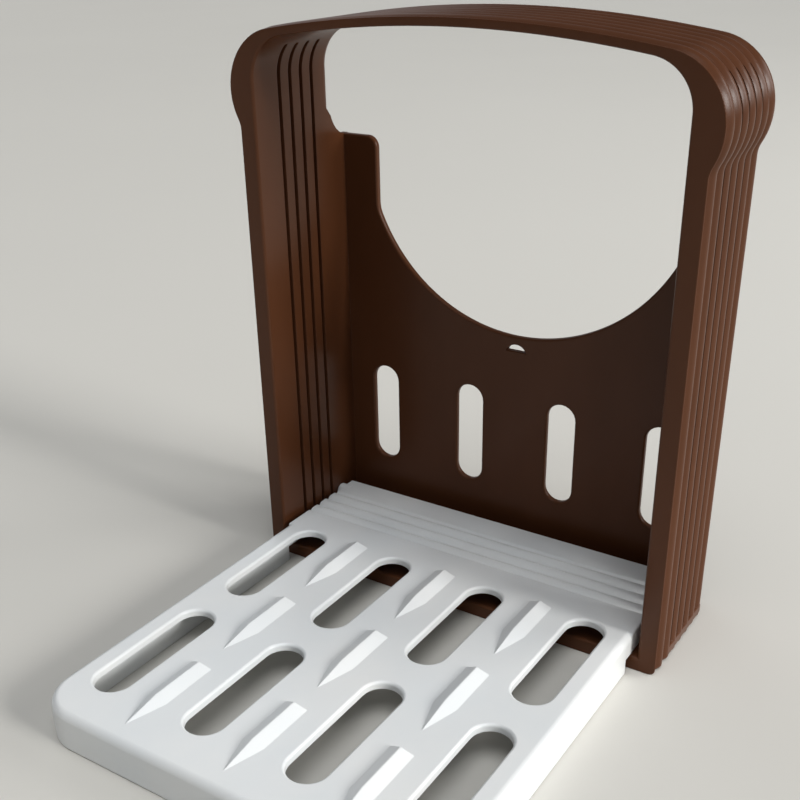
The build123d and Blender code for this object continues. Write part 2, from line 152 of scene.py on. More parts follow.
class TraySizes(bpy.types.PropertyGroup):
    """The loaf tray, its drain holes, gripping ridges and hinge pins."""
    side_gap: length("Side gap", "Tray edge to side wall", 0.0019)
    wall: length("Skirt", "Thickness of the skirt", 0.0022)
    skin: length("Deck", "Thickness of the deck", 0.0022)
    corner: length("Corner radius", "Front corners", 0.012)
    edge: length("Edge radius", "Top edges", 0.0022)
    rear_edge: length("Rear side radius", "Side edges of the grooved rear", 0.0006)
    foot_edge: length("Lower edge radius", "Lower edge of the skirt", 0.0005)
    notch_front: length("Notch", "The skirt is cut away from here back", 0.0035)
    notch_gap: length("Notch gap", "Cut-away skirt to base plate", 0.0007)
    groove: length("Groove depth", "Grooves under the knife slots", 0.0014)
    lip: length("Groove lip", "Groove to the deck in front of it", 0.001)
    land_drop: length("Rear land drop", "Fall of the rear land to the last groove", 0.0006)
    hole_columns: count("Hole columns", "Drain holes across the tray", 4)
    hole_rows: count("Hole rows", "Drain holes from front to back", 2)
    hole_width: length("Hole width", "Width of a drain hole", 0.0112)
    hole_side: length("Hole side margin", "Tray edge to the middle of the outer holes", 0.0121)
    hole_front: length("Hole front margin", "Tray edge to the front holes", 0.0123)
    hole_bridge: length("Hole bridge", "Deck between the two rows", 0.0113)
    hole_edge: length("Hole edge radius", "Rounded rims of the holes", 0.0008)
    ridge_rows: count("Ridge rows", "Rows of gripping ridges", 3)
    ridge_front: length("Ridge front margin", "Tray edge to the front ridges", 0.0061)
    ridge_gap: length("Ridge gap", "Deck between two rows", 0.0088)
    ridge_point: length("Ridge point", "Length of the pointed end", 0.011)
    ridge_width: length("Ridge width", "Width of a ridge", 0.0068)
    ridge_height: length("Ridge height", "Deck to the ridge's crest", 0.0018)
    ridge_lean: length("Ridge lean", "Slant of the blunt end", 0.0009)
    ridge_round: length("Ridge rounding", "Radius of the ridge's crest", 0.0006)
    pin: length("Pin radius", "Hinge pins", 0.002)
    pin_clearance: length("Pin clearance", "Radial, pin in its hole", 0.00008)
    pin_shoulder: length("Pin shoulder", "Step from pin to thrust shoulder", 0.0004)
    pin_end_gap: length("Pin end gap", "Pin tip to hole floor, shoulder to wall", 0.0003)


class Finish(bpy.types.PropertyGroup):
    """Colours of the two mouldings and of the studio."""
    brown: colour("Brown", "Frame plastic", (0.078, 0.027, 0.0105))
    brown_flow: colour("Brown flow", "Paler flow marks in the frame plastic", (0.096, 0.035, 0.015))
    white: colour("White", "Tray plastic", (0.74, 0.765, 0.775))
    white_flow: colour("White flow", "Warmer flow marks in the tray plastic", (0.79, 0.80, 0.795))
    floor: colour("Floor", "Studio floor", (0.63, 0.615, 0.575))


class SlicerGuide(bpy.types.PropertyGroup):
    """Everything that the sidebar shows."""
    arch: bpy.props.PointerProperty(type=ArchSizes)
    ribs: bpy.props.PointerProperty(type=RibSizes)
    plates: bpy.props.PointerProperty(type=PlateSizes)
    tray: bpy.props.PointerProperty(type=TraySizes)
    finish: bpy.props.PointerProperty(type=Finish)


# ---- outlines ----------------------------------------------------------------------------------
def arc(centre, radius, start, end, steps):
    """Points on an arc from angle start to angle end, in degrees, both ends included."""
    turns = [radians(start + (end - start) * n / steps) for n in range(steps + 1)]
    return [(centre[0] + radius * cos(t), centre[1] + radius * sin(t)) for t in turns]


def run(start, end, steps):
    """Evenly spaced points on a straight run, both ends included."""
    return [(start[0] + (end[0] - start[0]) * n / steps, start[1] + (end[1] - start[1]) * n / steps)
            for n in range(steps + 1)]


def chain(*runs):
    """The runs one after another, each joint's doubled point kept once."""
    points = list(runs[0])
    for part in runs[1:]:
        points += part[1:]
    return points


def stadium(width, height, steps=12):
    """Upright slot with round ends, about the origin, anticlockwise."""
    radius = width / 2
    straight = height / 2 - radius
    return arc((0, straight), radius, 0, 180, steps) + arc((0, -straight), radius, 180, 360, steps)


def circle(radius, steps=40):
    """Closed circle about the origin."""
    return arc((0, 0), radius, 0, 360, steps)[:-1]


def inset(outline, amount):
    """The closed anticlockwise outline moved inwards by amount, corners mitred."""
    moved = []
    for n, here in enumerate(outline):
        before = Vector(here) - Vector(outline[n - 1])
        after = Vector(outline[(n + 1) % len(outline)]) - Vector(here)
        first = Vector((-before.y, before.x)).normalized()
        second = Vector((-after.y, after.x)).normalized()
        moved.append(Vector(here) + (first + second) * amount / (1 + first.dot(second)))
    return [tuple(point) for point in moved]


def rounded(low, high, low_radius=0.0, high_radius=0.0, steps=5):
    """Levels (inset, height) of a slab between low and high whose rims are rounded."""
    levels = []
    for radius, end, inward in ((low_radius, low, 1), (high_radius, high, -1)):
        turns = [pi / 2 * n / steps for n in range(steps + 1)] if radius else [pi / 2]
        rim = [(radius * (1 - sin(t)), end + inward * radius * (1 - cos(t))) for t in turns]
        levels += rim if inward > 0 else rim[::-1]
    return levels


def flared(low, high, low_radius, high_radius, steps=5):
    """Levels of a cutter whose ends flare outwards, so that it leaves rounded rims at low and high."""
    last_turn = radians(80)   # the flare stops just short of the surface that it cuts
    levels = []
    for radius, end, inward in ((low_radius, low, 1), (high_radius, high, -1)):
        turns = [last_turn * n / steps for n in range(steps + 1)] if radius else [0.0]
        rim = [(-radius * (1 - cos(t)), end + inward * radius * (1 - sin(t))) for t in turns]
        rim.append((rim[-1][0], end - inward * OVERSHOOT))
        levels += rim[::-1] if inward > 0 else rim
    return levels


# ---- meshes ------------------------------------------------------------------------------------
def closed_object(name, points, faces):
    """An object of one closed mesh with its faces pointing outwards."""
    mesh = bpy.data.meshes.new(name)
    mesh.from_pydata(points, [], faces)
    shell = bmesh.new()
    shell.from_mesh(mesh)
    bmesh.ops.recalc_face_normals(shell, faces=shell.faces)
    shell.to_mesh(mesh)
    shell.free()
    made = bpy.data.objects.new(name, mesh)
    bpy.context.scene.collection.objects.link(made)
    return made


def lofted(name, rings):
    """Closed solid through rings of equally many points, capped at both ends."""
    sides = len(rings[0])
    points = [point for ring in rings for point in ring]
    faces = [list(range(sides)), list(range((len(rings) - 1) * sides, len(rings) * sides))]
    for level in range(len(rings) - 1):
        for n in range(sides):
            near, far = level * sides + n, level * sides + (n + 1) % sides
            faces.append([near, far, far + sides, near + sides])
    return closed_object(name, points, faces)


def stacked(name, outline, levels, plane):
    """Closed solid with the outline, inset by each level's first value, at its second value."""
    rings = [[plane @ Vector((u, v, height)) for u, v in inset(outline, amount)]
             for amount, height in levels]
    return lofted(name, rings)


# ---- node trees --------------------------------------------------------------------------------
def add_node(tree, kind, inputs=(), **options):
    """A new node with its options set, and each input wired or given its value."""
    node = tree.nodes.new(kind)
    for name, value in options.items():
        setattr(node, name, value)
    for key, value in dict(inputs).items():
        if isinstance(value, bpy.types.NodeSocket):
            tree.links.new(value, node.inputs[key])
        else:
            node.inputs[key].default_value = value
    return node


def math_node(tree, operation, *values):
    """The result of a math node on the values or sockets."""
    return add_node(tree, "ShaderNodeMath", enumerate(values), operation=operation).outputs[0]


def new_tree(name, inputs, kind="GeometryNodeTree", outputs=(("Geometry", "NodeSocketGeometry"),)):
    """An empty tree with named inputs and outputs, and its group input and output nodes."""
    tree = bpy.data.node_groups.new(name, kind)
    for socket_name, socket_type in inputs:
        tree.interface.new_socket(socket_name, in_out="INPUT", socket_type=socket_type)
    for socket_name, socket_type in outputs:
        tree.interface.new_socket(socket_name, in_out="OUTPUT", socket_type=socket_type)
    return tree, tree.nodes.new("NodeGroupInput").outputs, tree.nodes.new("NodeGroupOutput")


def finish_tree(tree, geometry, material, out):
    """Ends a geometry tree: instances made real, and the material set."""
    real = add_node(tree, "GeometryNodeRealizeInstances", {"Geometry": geometry})
    painted = add_node(tree, "GeometryNodeSetMaterial",
                       {"Geometry": real.outputs[0], "Material": material})
    tree.links.new(painted.outputs[0], out.inputs[0])


def rib_tree():
    """Presses grooves between round ribs into the points that carry an outward direction."""
    tree, given, out = new_tree("Ribs between grooves", (
        ("Geometry", "NodeSocketGeometry"), ("Pitch", "NodeSocketFloat"), ("Rib Height", "NodeSocketFloat"),
        ("First Groove Y", "NodeSocketFloat"), ("Wave Power", "NodeSocketFloat"),
        ("Material", "NodeSocketMaterial")))
    position = add_node(tree, "GeometryNodeInputPosition").outputs[0]
    y = add_node(tree, "ShaderNodeSeparateXYZ", {0: position}).outputs["Y"]
    behind_first = math_node(tree, "SUBTRACT", y, given["First Groove Y"])
    turns = math_node(tree, "DIVIDE", behind_first, given["Pitch"])
    # a raised cosine, 0 on a groove floor and 1 on a crest; a power below 1 narrows the valleys
    wave = math_node(tree, "COSINE", math_node(tree, "MULTIPLY", turns, 2 * pi))
    raised = math_node(tree, "MULTIPLY_ADD", wave, -0.5, 0.5)
    share = math_node(tree, "POWER", raised, given["Wave Power"])
    depth = math_node(tree, "MULTIPLY", math_node(tree, "SUBTRACT", share, 1.0), given["Rib Height"])
    outward = add_node(tree, "GeometryNodeInputNamedAttribute", {"Name": "outward"},
                       data_type="FLOAT_VECTOR")
    offset = add_node(tree, "ShaderNodeVectorMath", {0: outward.outputs[0], "Scale": depth},
                      operation="SCALE")
    moved = add_node(tree, "GeometryNodeSetPosition",
                     {"Geometry": given["Geometry"], "Offset": offset.outputs[0]})
    finish_tree(tree, moved.outputs[0], given["Material"], out)
    return tree


def row_tree(name, operation):
    """Cuts or adds a tool in columns and rows about a centre."""
    tree, given, out = new_tree(name, (
        ("Geometry", "NodeSocketGeometry"), ("Tool", "NodeSocketObject"), ("Columns", "NodeSocketInt"),
        ("Rows", "NodeSocketInt"), ("Spacing", "NodeSocketVector"), ("Centre", "NodeSocketVector"),
        ("Material", "NodeSocketMaterial")))
    total = math_node(tree, "MULTIPLY", given["Columns"], given["Rows"])
    index = add_node(tree, "GeometryNodeInputIndex").outputs[0]
    row = math_node(tree, "FLOOR", math_node(tree, "DIVIDE", index, given["Columns"]))
    column = math_node(tree, "SUBTRACT", index, math_node(tree, "MULTIPLY", row, given["Columns"]))
    steps = []
    for number, amount in ((column, given["Columns"]), (row, given["Rows"])):
        middle = math_node(tree, "MULTIPLY", math_node(tree, "SUBTRACT", amount, 1.0), 0.5)
        steps.append(math_node(tree, "SUBTRACT", number, middle))
    grid = add_node(tree, "ShaderNodeCombineXYZ", {"X": steps[0], "Y": steps[1]})
    place = add_node(tree, "ShaderNodeVectorMath",
                     {0: grid.outputs[0], 1: given["Spacing"], 2: given["Centre"]},
                     operation="MULTIPLY_ADD")
    points = add_node(tree, "GeometryNodePoints", {"Count": total, "Position": place.outputs[0]})
    tool = add_node(tree, "GeometryNodeObjectInfo", {"Object": given["Tool"]})
    copies = add_node(tree, "GeometryNodeInstanceOnPoints",
                      {"Points": points.outputs[0], "Instance": tool.outputs["Geometry"]})
    real = add_node(tree, "GeometryNodeRealizeInstances", {"Geometry": copies.outputs[0]})
    boolean = add_node(tree, "GeometryNodeMeshBoolean", operation=operation, solver="MANIFOLD")
    # a union takes both meshes in one socket
    carrier, tools = ("Mesh 1", "Mesh 2") if operation == "DIFFERENCE" else ("Mesh", "Mesh")
    tree.links.new(given["Geometry"], boolean.inputs[carrier])
    tree.links.new(real.outputs[0], boolean.inputs[tools])
    finish_tree(tree, boolean.outputs[0], given["Material"], out)
    return tree


def use_tree(piece, tree, **inputs):
    """Adds the tree as a modifier, each input set by its socket's identifier."""
    modifier = piece.modifiers.new(tree.name, "NODES")
    modifier.node_group = tree
    for item in tree.interface.items_tree:
        key = item.name.lower().replace(" ", "_")
        if item.in_out == "INPUT" and key in inputs:
            modifier[item.identifier] = inputs[key]


def use_boolean(piece, tool, operation):
    """Adds a boolean modifier with the tool."""
    modifier = piece.modifiers.new(tool.name, "BOOLEAN")
    modifier.object = tool
    modifier.operation = operation
    modifier.solver = "MANIFOLD"


def evaluated(piece):
    """A plain mesh of the piece with its modifiers applied, in the piece's own name."""
    graph = bpy.context.evaluated_depsgraph_get()
    graph.update()
    return bpy.data.meshes.new_from_object(piece.evaluated_get(graph))


def finish_moulding(piece, tools, node, body):
    """Applies the modifiers, shades crisp edges and flat faces cleanly, and hands the piece over."""
    piece.data = evaluated(piece)
    piece.modifiers.clear()
    for tool in tools:
        bpy.data.objects.remove(tool)
    piece.data.shade_smooth()
    piece.data.set_sharp_from_angle(angle=SHARP_ANGLE)
    flatten = piece.modifiers.new("flat faces", "WEIGHTED_NORMAL")
    flatten.keep_sharp = True
    piece.data = evaluated(piece)
    piece.modifiers.clear()
    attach(piece, body)
    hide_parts(node)


# ---- materials ---------------------------------------------------------------------------------
FLOW_SCALE = (24.0, 24.0, 9.0)        # flow marks to the metre, drawn out upwards
RUB_SCALE = (2600.0, 60.0, 240.0)     # hairlines to the metre, drawn out from front to back
RUB_TURN = (0.3, 0.2, 0.7)            # radians, keeps them off the noise's own grid
PATCH_SCALE = 55.0                    # patches of more or less gloss to the metre
PATCH_SWING = 0.10                    # range of roughness between them
GRAIN_SCALE = 1500.0                  # pits of the mould's grain to the metre


def moulded_surface():
    """Node group of a moulded plastic skin: flow marks, uneven gloss, fine grain and hairline rubs."""
    tree, given, out = new_tree("Moulded surface", (
        ("Colour", "NodeSocketColor"), ("Flow Colour", "NodeSocketColor"), ("Roughness", "NodeSocketFloat"),
        ("Rub Roughness", "NodeSocketFloat"), ("Grain Height", "NodeSocketFloat"),
        ("Normal", "NodeSocketVector")),
        kind="ShaderNodeTree",
        outputs=(("Colour", "NodeSocketColor"), ("Roughness", "NodeSocketFloat"),
                 ("Normal", "NodeSocketVector")))
    place = add_node(tree, "ShaderNodeTexCoord").outputs["Object"]
    # broad flow marks
    drawn = add_node(tree, "ShaderNodeMapping", {"Vector": place, "Scale": FLOW_SCALE})
    flow = add_node(tree, "ShaderNodeTexNoise",
                    {"Vector": drawn.outputs[0], "Scale": 1.0, "Detail": 4.0, "Roughness": 0.55})
    spread = add_node(tree, "ShaderNodeMapRange",
                      {"Value": flow.outputs["Fac"], "From Min": 0.38, "From Max": 0.66})
    tone = add_node(tree, "ShaderNodeMix",
                    {0: spread.outputs[0], 6: given["Colour"], 7: given["Flow Colour"]}, data_type="RGBA")
    # hairline rubs: stretched noise, kept only at its highest values
    streaks = add_node(tree, "ShaderNodeMapping",
                       {"Vector": place, "Rotation": RUB_TURN, "Scale": RUB_SCALE})
    rubs = add_node(tree, "ShaderNodeTexNoise", {"Vector": streaks.outputs[0], "Scale": 1.0, "Detail": 2.0})
    rubbed = add_node(tree, "ShaderNodeMapRange",
                      {"Value": rubs.outputs["Fac"], "From Min": 0.66, "From Max": 0.74})
    patch = add_node(tree, "ShaderNodeTexNoise", {"Vector": place, "Scale": PATCH_SCALE, "Detail": 3.0})
    worn = math_node(tree, "MULTIPLY", rubbed.outputs[0], patch.outputs["Fac"])
    uneven = math_node(tree, "MULTIPLY_ADD", patch.outputs["Fac"], PATCH_SWING, -PATCH_SWING / 2)
    matt = math_node(tree, "MULTIPLY_ADD", worn, given["Rub Roughness"],
                     math_node(tree, "ADD", given["Roughness"], uneven))
    # fine orange-peel grain of the mould
    grain = add_node(tree, "ShaderNodeTexNoise", {"Vector": place, "Scale": GRAIN_SCALE, "Detail": 2.0})
    bump = add_node(tree, "ShaderNodeBump",
                    {"Height": grain.outputs["Fac"], "Distance": given["Grain Height"],
                     "Normal": given["Normal"], "Strength": 1.0})
    tree.links.new(tone.outputs[2], out.inputs["Colour"])
    tree.links.new(matt, out.inputs["Roughness"])
    tree.links.new(bump.outputs[0], out.inputs["Normal"])
    return tree


def plastic(name, surface, colour_value, flow_value, gloss, roughness, rub, grain, edge):
    """Moulded plastic with the shared skin, and edges softened by a fine radius."""
    material = bpy.data.materials.new(name)
    material.use_nodes = True
    tree = material.node_tree
    shader = tree.nodes["Principled BSDF"]
    shader.inputs["Specular IOR Level"].default_value = gloss
    softened = add_node(tree, "ShaderNodeBevel", {"Radius": edge}, samples=4)
    skin = add_node(tree, "ShaderNodeGroup", node_tree=surface)
    skin.inputs["Colour"].default_value = (*colour_value, 1.0)
    skin.inputs["Flow Colour"].default_value = (*flow_value, 1.0)
    skin.inputs["Roughness"].default_value = roughness
    skin.inputs["Rub Roughness"].default_value = rub
    skin.inputs["Grain Height"].default_value = grain
    tree.links.new(softened.outputs[0], skin.inputs["Normal"])
    tree.links.new(skin.outputs["Colour"], shader.inputs["Base Color"])
    tree.links.new(skin.outputs["Roughness"], shader.inputs["Roughness"])
    tree.links.new(skin.outputs["Normal"], shader.inputs["Normal"])
    return material


def shared_surface():
    """The moulded surface group, built once."""
    return bpy.data.node_groups.get("Moulded surface") or moulded_surface()


# ---- the frame ---------------------------------------------------------------------------------
# Steps along half of the arch. Its outer and inner lines share them, so that their points match.
FOOT_STEPS, WALL_STEPS, BLEND_STEPS, CORNER_STEPS, CROWN_STEPS = 5, 12, 9, 28, 18


def inner_half_width(guide):
    """Centre line to the inner face of a side wall."""
    return FRAME_HIGH.x - guide.arch.proud - guide.arch.wall


def arch_lines(guide):
    """The rib crests' line and the inner face's line, right foot to left foot, in matching points."""
    a = guide.arch
    outer_x = FRAME_HIGH.x - a.proud
    inner_x = inner_half_width(guide)
    # outside: foot, wall, hollow blend, shoulder, crown
    crown_z = FRAME_HIGH.z - a.outer_crown
    shoulder_x = FRAME_HIGH.x - a.shoulder
    shoulder_z = crown_z + sqrt((a.outer_crown - a.shoulder) ** 2 - shoulder_x**2)
    blend_x = outer_x + a.blend
    blend_z = shoulder_z - sqrt((a.shoulder + a.blend) ** 2 - (blend_x - shoulder_x) ** 2)
    meet = degrees(atan2(blend_z - shoulder_z, blend_x - shoulder_x))
    touch = degrees(atan2(shoulder_z - crown_z, shoulder_x))
    outside = chain(
        arc((outer_x - a.foot, a.foot), a.foot, -90, 0, FOOT_STEPS),
        run((outer_x, a.foot), (outer_x, blend_z), WALL_STEPS),
        arc((blend_x, blend_z), a.blend, 180, meet + 180, BLEND_STEPS),
        arc((shoulder_x, shoulder_z), a.shoulder, meet, touch, CORNER_STEPS),
        arc((0, crown_z), a.outer_crown, touch, 90, CROWN_STEPS))
    # inside: wall in three runs beside the outer ones, corner, crown
    ceiling_z = FRAME_HIGH.z - a.arch - a.inner_crown
    corner_x = inner_x - a.inner_corner
    corner_z = ceiling_z + sqrt((a.inner_crown - a.inner_corner) ** 2 - corner_x**2)
    inner_touch = degrees(atan2(corner_z - ceiling_z, corner_x))
    inside = chain(
        run((inner_x, 0), (inner_x, a.foot), FOOT_STEPS),
        run((inner_x, a.foot), (inner_x, blend_z), WALL_STEPS),
        run((inner_x, blend_z), (inner_x, corner_z), BLEND_STEPS),
        arc((corner_x, corner_z), a.inner_corner, 0, inner_touch, CORNER_STEPS),
        arc((0, ceiling_z), a.inner_crown, inner_touch, 90, CROWN_STEPS))
    return [half + [(-x, z) for x, z in half[-2::-1]] for half in (outside, inside)]


def outward_directions(line):
    """The direction away from the inside, square to the line at each of its points."""
    found = []
    for n in range(len(line)):
        before, after = Vector(line[max(n - 1, 0)]), Vector(line[min(n + 1, len(line) - 1)])
        along = (after - before).normalized()
        found.append(Vector((along.y, -along.x)))
    return found


def band_section(guide):
    """Points round the band's section: (on the outer line, offset outwards, depth from the front)."""
    a, ribs = guide.arch, guide.ribs
    wave_steps = 14   # from one groove to the next
    outer_steps, inner_steps, flat_steps = 3, 6, 6
    first = ceil((a.edge - ribs.first_groove) / ribs.pitch * wave_steps)
    last = floor((a.depth - a.edge - ribs.first_groove) / ribs.pitch * wave_steps)
    stations = [ribs.first_groove + n * ribs.pitch / wave_steps for n in range(first, last + 1)]
    # on each side, points between the rounded front edge and the rounded rear edge
    outer = [(True, -offset, y) for offset, y in rounded(0, a.depth, a.edge, a.edge, outer_steps)]
    middle = outer_steps + 1
    outer[middle:middle] = [(True, 0.0, y) for y in stations if a.edge < y < a.depth - a.edge]
    inner = [(False, offset, y)
             for offset, y in rounded(0, a.depth, a.front_edge, a.rear_edge, inner_steps)]
    middle = inner_steps + 1
    flat = run((0, a.front_edge), (0, a.depth - a.rear_edge), flat_steps)[1:-1]
    inner[middle:middle] = [(False, offset, y) for offset, y in flat]
    return outer + inner[::-1]


def ribbed_band(guide):
    """The plain band of walls and arch, its outside marked with the direction that ribs stand out in."""
    outside, inside = arch_lines(guide)
    out_ways, in_ways = outward_directions(outside), outward_directions(inside)
    section = band_section(guide)
    rounded_share = 0.6   # the thin arch keeps the rest as a flat rear face
    rings, marks = [], []
    for n in range(len(outside)):
        thickness = min((Vector(point) - Vector(inside[n])).length for point in outside)
        ease = min(1.0, rounded_share * thickness / guide.arch.rear_edge)
        ring = []
        for on_outside, offset, y in section:
            line, way = (outside[n], out_ways[n]) if on_outside else (inside[n], in_ways[n])
            # round the foot the ribs still stand out sideways, so that they end level on the table
            if min(n, len(outside) - 1 - n) <= FOOT_STEPS:
                way = Vector((1 if line[0] > 0 else -1, 0))
            if not on_outside:
                offset *= ease
            ring.append((line[0] + way.x * offset, FRONT_Y + y, line[1] + way.y * offset))
            marks.append((way.x, 0, way.y) if on_outside else (0, 0, 0))
        rings.append(ring)
    band = lofted("frame_moulding", rings)
    outward = band.data.attributes.new("outward", "FLOAT_VECTOR", "POINT")
    outward.data.foreach_set("vector", [value for mark in marks for value in mark])
    return band


def back_plate(guide):
    """Back plate with its round cut-out between two lobes."""
    p = guide.plates
    inner_x = inner_half_width(guide)
    side_x = inner_x + p.skin - 2 * BURIED   # the plate's sides end inside the skins
    lobe_x = inner_x - p.lobe
    radius = lobe_x + p.bulge
    centre_z = p.cutout_low + radius
    blend_x = lobe_x - p.cutout_blend
    blend_z = centre_z - sqrt((radius - p.cutout_blend) ** 2 - blend_x**2)
    turn = degrees(atan2(blend_z - centre_z, blend_x))
    right = chain(
        arc((lobe_x + p.lobe_radius, p.top - p.lobe_radius), p.lobe_radius, 90, 180, steps=8),
        run((lobe_x, p.top - p.lobe_radius), (lobe_x, blend_z), steps=1),
        arc((blend_x, blend_z), p.cutout_blend, 0, turn, steps=6),
        arc((0, centre_z), radius, turn, -90, steps=32))
    cutout = right + [(-x, z) for x, z in right[-2::-1]]
    outline = [(-side_x, BURIED), (side_x, BURIED), (side_x, p.top)] + cutout + [(-side_x, p.top)]
    levels = rounded(FRAME_HIGH.y - p.thick, FRAME_HIGH.y, p.rim_radius, p.rim_radius)
    return stacked("back_plate", outline, levels, FRONT)


def side_skins(guide):
    """Thin skins behind the band, with a sloping step at the back plate's top."""
    a, p = guide.arch, guide.plates
    inner_x = inner_half_width(guide)
    band_y = FRONT_Y + a.depth
    start_y = band_y - a.rear_edge - OVERSHOOT   # inside the band, in front of its rounded rear edge
    panel_y = FRAME_HIGH.y - p.thick
    step_z = p.top + p.step
    fall = Vector((panel_y - band_y, p.top - step_z))
    # hermite curve of the step: nearly level at the plate, nearly upright at the band
    slope_steps = 10
    plate_rise, band_lean = 0.2, 0.3   # slopes of its ends, against level and against upright
    slope = []
    for n in range(slope_steps + 1):
        share = n / slope_steps
        ease = share * share * (3 - 2 * share)
        lead = share * (1 - share) ** 2 * fall.length
        tail = share * share * (share - 1) * fall.length
        y = panel_y - ease * fall.x - lead - band_lean * tail
        z = p.top - ease * fall.y + plate_rise * lead + tail
        slope.append((y, z))
    # above the step the skin tapers into the band, so that the rounded rear edge fades out
    taper = [(start_y, step_z + 2 * a.rear_edge)]
    outline = [(start_y, 0), (FRAME_HIGH.y, 0), (FRAME_HIGH.y, p.top)] + slope + taper
    skins = []
    for side in (1, -1):
        levels = [(amount, side * height) for amount, height in
                  rounded(inner_x, inner_x + p.skin, 0.0, p.rim_radius)]
        skins.append(stacked("side_skin", outline, levels, SIDE))
    return skins


def base_plate(guide):
    """Base plate between the walls, and the two hollows below it."""
    p = guide.plates
    inner_x = inner_half_width(guide)
    edge = p.rim_radius
    outline = [(FRONT_Y, 0), (FRAME_HIGH.y, 0), (FRAME_HIGH.y, p.base_top)]
    outline += arc((FRONT_Y + edge, p.base_top - edge), edge, 90, 180, steps=4)
    plate = stacked("base_plate", outline, [(0, -inner_x - BURIED), (0, inner_x + BURIED)], SIDE)
    low_y, high_y = FRONT_Y + p.rim, FRAME_HIGH.y - p.thick - p.rim
    hollows = []
    for side in (1, -1):
        near, far = sorted((side * p.land / 2, side * (inner_x - p.rim)))
        outline = [(near, low_y), (far, low_y), (far, high_y), (near, high_y)]
        levels = rounded(-OVERSHOOT, p.base_top - p.base_thick, 0.0, edge)
        hollows.append(stacked("base_hollow", outline, levels, PLAN))
    return plate, hollows


def foot_bands(guide):
    """Smooth bands that close the rear grooves just above the table."""
    a, ribs = guide.arch, guide.ribs
    outer_x = FRAME_HIGH.x - a.proud
    low_y = FRONT_Y + ribs.first_groove + (ribs.band_groove + 0.5) * ribs.pitch
    high_y = FRONT_Y + a.depth
    outline = [(low_y, ribs.band_low), (high_y, ribs.band_low),
               (high_y, ribs.slot_low), (low_y, ribs.slot_low)]
    bands = []
    for side in (1, -1):
        # from well inside the wall to the crests
        levels = [(amount, side * height) for amount, height in
                  rounded(outer_x - 2 * ribs.height, outer_x, 0.0, a.edge, steps=3)]
        bands.append(stacked("foot_band", outline, levels, SIDE))
    return bands


def window_cutter(guide):
    """One upright window of the back plate, with rounded rims on both sides."""
    p = guide.plates
    half = p.thick / 2
    levels = flared(-half, half, p.rim_radius, p.rim_radius)
    return stacked("window_cutter", stadium(p.window_width, p.window_high - p.window_low), levels, FRONT)


def catch_cutter(guide):
    """Half-round hole below the cut-out, flat at its lower edge."""
    p = guide.plates
    half = p.catch_width / 2
    radius = (half**2 + p.catch_height**2) / (2 * p.catch_height)
    centre = (0, p.catch_low + p.catch_height - radius)
    start = degrees(atan2(p.catch_low - centre[1], half))
    outline = arc(centre, radius, start, 180 - start, steps=16)
    levels = flared(FRAME_HIGH.y - p.thick, FRAME_HIGH.y, p.rim_radius / 2, p.rim_radius / 2)
    return stacked("catch_cutter", outline, levels, FRONT)


def pin_hole_cutters(guide):
    """Blind holes in both walls for the tray's pins."""
    t = guide.tray
    inner_x = inner_half_width(guide)
    outline = [(HINGE.y + u, HINGE.z + v) for u, v in circle(t.pin + t.pin_clearance)]
    floor_x = TRAY_HIGH.x + t.pin_end_gap
    return [stacked("pin_hole", outline, [(0, side * (inner_x - OVERSHOOT)), (0, side * floor_x)], SIDE)
            for side in (1, -1)]


class SLICER_OT_frame(bpy.types.Operator):
    """Build the ribbed arch with its knife slots, base plate and slotted back plate"""
    bl_idname = "slicer.frame"
    bl_label = "Frame moulding"

    def execute(self, context):
        guide = context.scene.slicer_guide
        a, ribs, p, finish = guide.arch, guide.ribs, guide.plates, guide.finish
        brown = plastic("brown_plastic", shared_surface(), finish.brown, finish.brown_flow,
                        gloss=0.18, roughness=0.30, rub=0.08, grain=0.000005, edge=0.0003)
        inner_x = inner_half_width(guide)
        moulding = ribbed_band(guide)
        use_tree(moulding, rib_tree(), pitch=ribs.pitch, rib_height=ribs.height,
                 first_groove_y=FRONT_Y + ribs.first_groove, wave_power=ribs.wave_power, material=brown)
        plate, hollows = base_plate(guide)
        added = [plate, back_plate(guide), *side_skins(guide), *foot_bands(guide)]
        for tool in added:
            use_boolean(moulding, tool, "UNION")
        removed = [catch_cutter(guide), *hollows, *pin_hole_cutters(guide)]
        for tool in removed:
            use_boolean(moulding, tool, "DIFFERENCE")
        # knife slots: one tool through both walls, repeated on the groove floors
        slot_top = FRAME_HIGH.z - a.arch - ribs.slot_below_arch
        slot = stacked("slot_cutter", stadium(ribs.slot_width, slot_top - ribs.slot_low),
                       [(0, -FRAME_HIGH.x - OVERSHOOT), (0, FRAME_HIGH.x + OVERSHOOT)], SIDE)
        middle_groove = ribs.slot_groove + (ribs.slot_count - 1) / 2
        slots_y = FRONT_Y + ribs.first_groove + middle_groove * ribs.pitch
        cut_rows = row_tree("Cut rows", "DIFFERENCE")
        use_tree(moulding, cut_rows, tool=slot, columns=1, rows=ribs.slot_count, spacing=(0, ribs.pitch, 0),
                 centre=(0, slots_y, (ribs.slot_low + slot_top) / 2), material=brown)
        # windows: one tool through the back plate, repeated across it
        window = window_cutter(guide)
        spacing = 2 * (inner_x - p.window_margin) / (p.window_count - 1)
        use_tree(moulding, cut_rows, tool=window, columns=p.window_count, rows=1, spacing=(spacing, 0, 0),
                 centre=(0, FRAME_HIGH.y - p.thick / 2, (p.window_low + p.window_high) / 2), material=brown)
        finish_moulding(moulding, [*added, *removed, slot, window], "frame", "frame")
        return {"FINISHED"}


